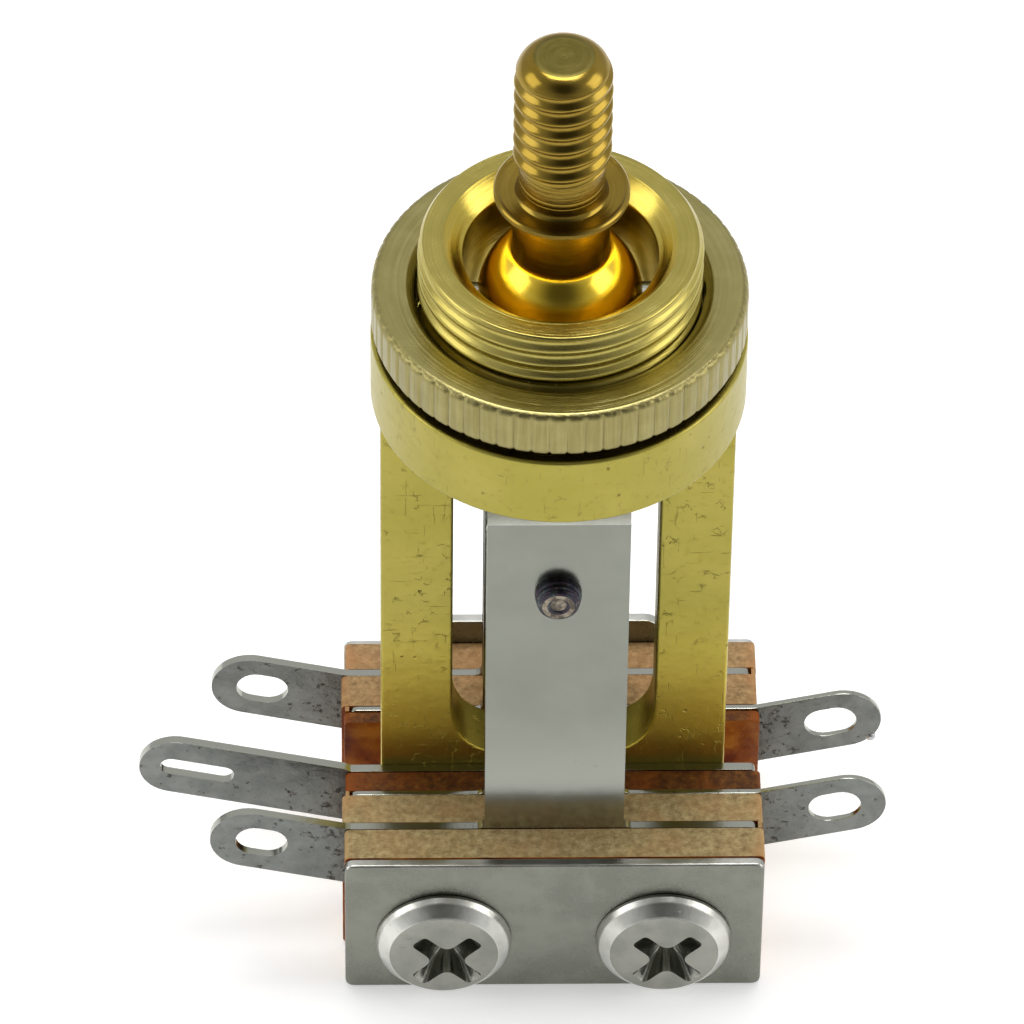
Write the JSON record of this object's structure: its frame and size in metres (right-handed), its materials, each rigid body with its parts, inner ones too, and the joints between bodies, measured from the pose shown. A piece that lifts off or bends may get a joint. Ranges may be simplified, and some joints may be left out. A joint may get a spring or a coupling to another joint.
{
  "type": "open-frame toggle switch",
  "caption": "Three-way lever toggle switch with a threaded bushing and knurled nut on an open forged frame, leaf springs and solder lugs clamped in an insulated stack.",
  "frame": {"origin": "on the bushing's axis at the panel seat, the top face of the frame's collar", "axes": "+Z along the bushing's axis, out of the panel towards the lever's tip; +X along the row of stack screws; -Y towards the screw heads"},
  "size_m": [0.0325, 0.0161, 0.0494],
  "materials": {
    "forged_brass": "forged and tumbled, olive-yellow, fine pits",
    "turned_brass": "bright turned brass with tool marks",
    "nickel_silver": "satin rolled nickel silver",
    "tinned_lug": "dull tinned strip with flux stains",
    "phenolic": "laminated phenolic, glossy faces, mottled cut edges",
    "nickel_steel": "nickel plated steel",
    "contact_alloy": "tarnished contact alloy",
    "actuator_nylon": "moulded nylon"
  },
  "bodies": {
    "switch_frame": {"frame": "forged_brass", "pivot_pin": "nickel_steel", "ground_lug": "tinned_lug", "front_outer_insulator": "phenolic", "front_middle_insulator": "phenolic", "front_inner_insulator": "phenolic", "rear_inner_insulator": "phenolic", "rear_middle_insulator": "phenolic", "rear_outer_insulator": "phenolic", "left_screw_sleeve": "phenolic", "right_screw_sleeve": "phenolic", "front_clamp_plate": "nickel_steel", "rear_clamp_plate": "nickel_steel", "left_stack_screw": "nickel_steel", "right_stack_screw": "nickel_steel", "front_outer_terminal": "tinned_lug", "front_inner_terminal": "tinned_lug", "rear_inner_terminal": "tinned_lug", "rear_outer_terminal": "tinned_lug"},
    "nut": {"knurled_nut": "forged_brass"},
    "lever_assembly": {"lever": "turned_brass", "lever_actuator": "actuator_nylon"},
    "front_outer_spring": {"front_outer_blade": "nickel_silver", "front_outer_contact": "contact_alloy"},
    "front_inner_spring": {"front_inner_blade": "nickel_silver", "front_inner_contact": "contact_alloy"},
    "rear_outer_spring": {"rear_outer_blade": "nickel_silver", "rear_outer_contact": "contact_alloy"},
    "rear_inner_spring": {"rear_inner_blade": "nickel_silver", "rear_inner_contact": "contact_alloy"}
  },
  "joints": [
    {"name": "lever_pivot", "type": "hinge", "parent": "switch_frame", "child": "lever_assembly", "pos_m": [0, 0, 0.0019], "axis": [1, 0, 0], "range_deg": [-12, 12]},
    {"name": "nut_turn", "type": "hinge", "parent": "switch_frame", "child": "nut", "pos_m": [0, 0, 0.0015], "axis": [0, 0, 1], "continuous": true},
    {"name": "front_outer_flex", "type": "hinge", "parent": "switch_frame", "child": "front_outer_spring", "pos_m": [0, -0.00486, -0.0258], "axis": [1, 0, 0], "range_deg": [-6, 6]},
    {"name": "front_inner_flex", "type": "hinge", "parent": "switch_frame", "child": "front_inner_spring", "pos_m": [0, -0.00293, -0.0258], "axis": [1, 0, 0], "range_deg": [-5, 5]},
    {"name": "rear_outer_flex", "type": "hinge", "parent": "switch_frame", "child": "rear_outer_spring", "pos_m": [0, 0.00418, -0.0258], "axis": [1, 0, 0], "range_deg": [-6, 6]},
    {"name": "rear_inner_flex", "type": "hinge", "parent": "switch_frame", "child": "rear_inner_spring", "pos_m": [0, 0.00205, -0.0258], "axis": [1, 0, 0], "range_deg": [-5, 5]}
  ],
  "couplings": [
    {"joint": "front_outer_flex", "follows": "lever_pivot", "ratio": -0.445},
    {"joint": "front_inner_flex", "follows": "lever_pivot", "ratio": -0.375},
    {"joint": "rear_outer_flex", "follows": "lever_pivot", "ratio": -0.445},
    {"joint": "rear_inner_flex", "follows": "lever_pivot", "ratio": -0.375}
  ]
}
